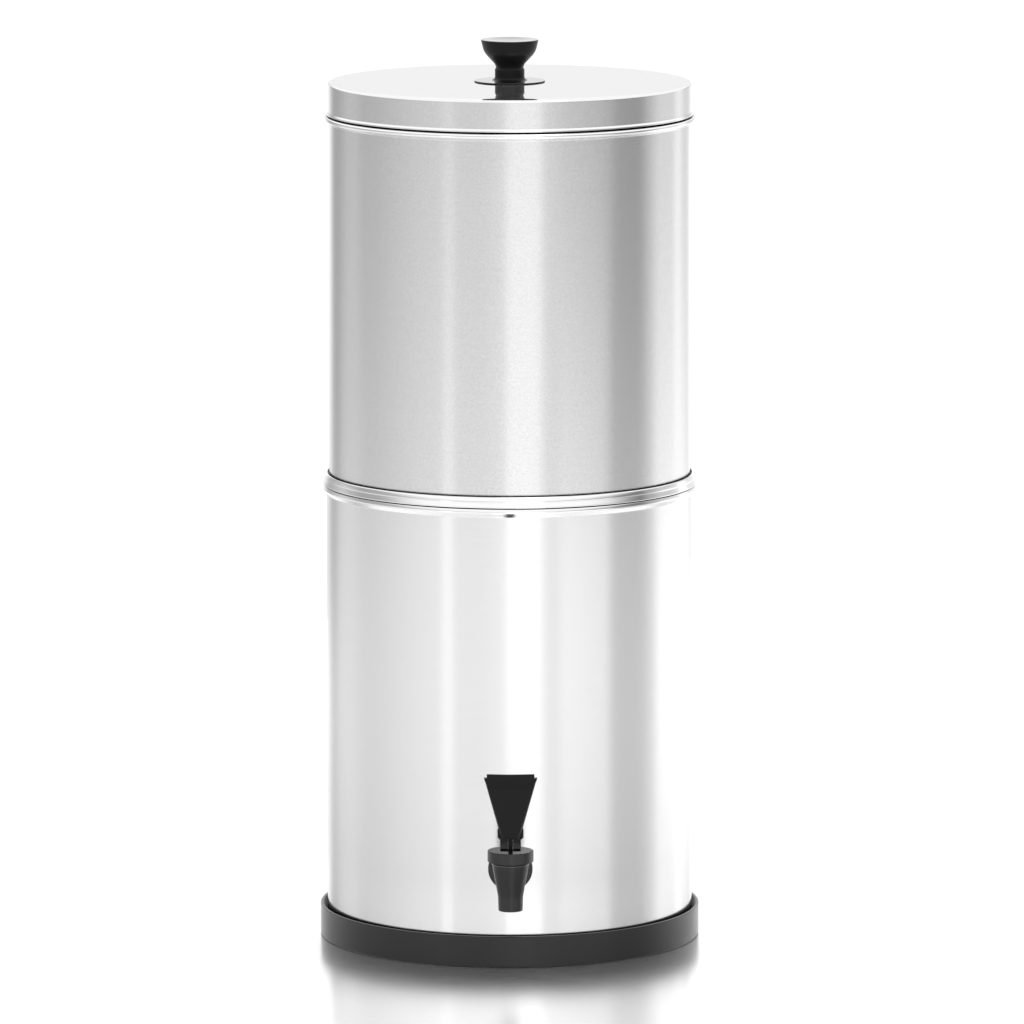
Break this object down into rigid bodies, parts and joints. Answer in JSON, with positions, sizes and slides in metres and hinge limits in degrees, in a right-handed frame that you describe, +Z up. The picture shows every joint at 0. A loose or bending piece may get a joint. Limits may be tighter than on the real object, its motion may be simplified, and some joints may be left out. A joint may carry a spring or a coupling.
{
  "type": "gravity water filter",
  "caption": "Stainless steel gravity water filter: an upper chamber with filter elements nests in a lower chamber on a rubber base ring, with a knobbed lid and a lever tap.",
  "frame": {"origin": "centre of the base ring's footprint, on the chambers' axis at the level of the surface that it stands on", "axes": "+Z up along the chambers' axis; -Y towards the tap; +X to the right as seen from the tap's side"},
  "size_m": [0.25, 0.2983, 0.5928],
  "materials": {
    "lower_steel": "polished",
    "upper_steel": "fine brushed",
    "lid_steel": "polished top, brushed skirt",
    "bright_steel": "bright",
    "base_rubber": "satin",
    "seal_rubber": "matte",
    "silicone": "translucent satin",
    "tap_plastic": "satin",
    "bonnet_plastic": "satin",
    "lever_plastic": "satin",
    "stem_plastic": "satin",
    "knob_plastic": "polished",
    "pressed_carbon": "dull, grainy",
    "element_plastic": "satin",
    "nut_plastic": "satin",
    "plug_plastic": "satin"
  },
  "bodies": {
    "lower_assembly": {"base_ring": "base_rubber", "lower_chamber": "lower_steel", "tap_body": "tap_plastic", "outer_washer": "seal_rubber", "inner_washer": "seal_rubber", "shank_nut": "tap_plastic", "bonnet": "bonnet_plastic", "bonnet_seal": "silicone"},
    "plunger": {"valve_stem": "stem_plastic", "seat_cup": "silicone", "closing_spring": "bright_steel", "lever_pin": "bright_steel"},
    "lever": {"lever": "lever_plastic"},
    "upper_assembly": {"upper_chamber": "upper_steel", "filter_block_left": "pressed_carbon", "filter_block_right": "pressed_carbon", "filter_base_left": "element_plastic", "filter_base_right": "element_plastic", "filter_cap_left": "element_plastic", "filter_cap_right": "element_plastic", "stem_gaskets": "seal_rubber", "wing_nuts": "nut_plastic", "blocking_plugs": "plug_plastic"},
    "lid": {"lid": "lid_steel", "lid_knob": "knob_plastic", "knob_washer": "bright_steel", "knob_screw": "bright_steel"}
  },
  "joints": [
    {"name": "chamber_lift", "type": "slide", "parent": "lower_assembly", "child": "upper_assembly", "axis": [0, 0, 1], "range_m": [0, 0.15]},
    {"name": "lid_lift", "type": "slide", "parent": "upper_assembly", "child": "lid", "axis": [0, 0, 1], "range_m": [0, 0.12]},
    {"name": "plunger_lift", "type": "slide", "parent": "lower_assembly", "child": "plunger", "axis": [0, 0, 1], "range_m": [0, 0.00285], "deforming": ["closing_spring"]},
    {"name": "lever_tilt", "type": "hinge", "parent": "plunger", "child": "lever", "pos_m": [0, -0.1585, 0.0952], "axis": [1, 0, 0], "range_deg": [0, 35], "stiffness_Nm_per_rad": 0.02, "springref_deg": -57.3}
  ],
  "couplings": [
    {"joint": "plunger_lift", "follows": "lever_tilt", "m_per_rad": 0.0045}
  ]
}
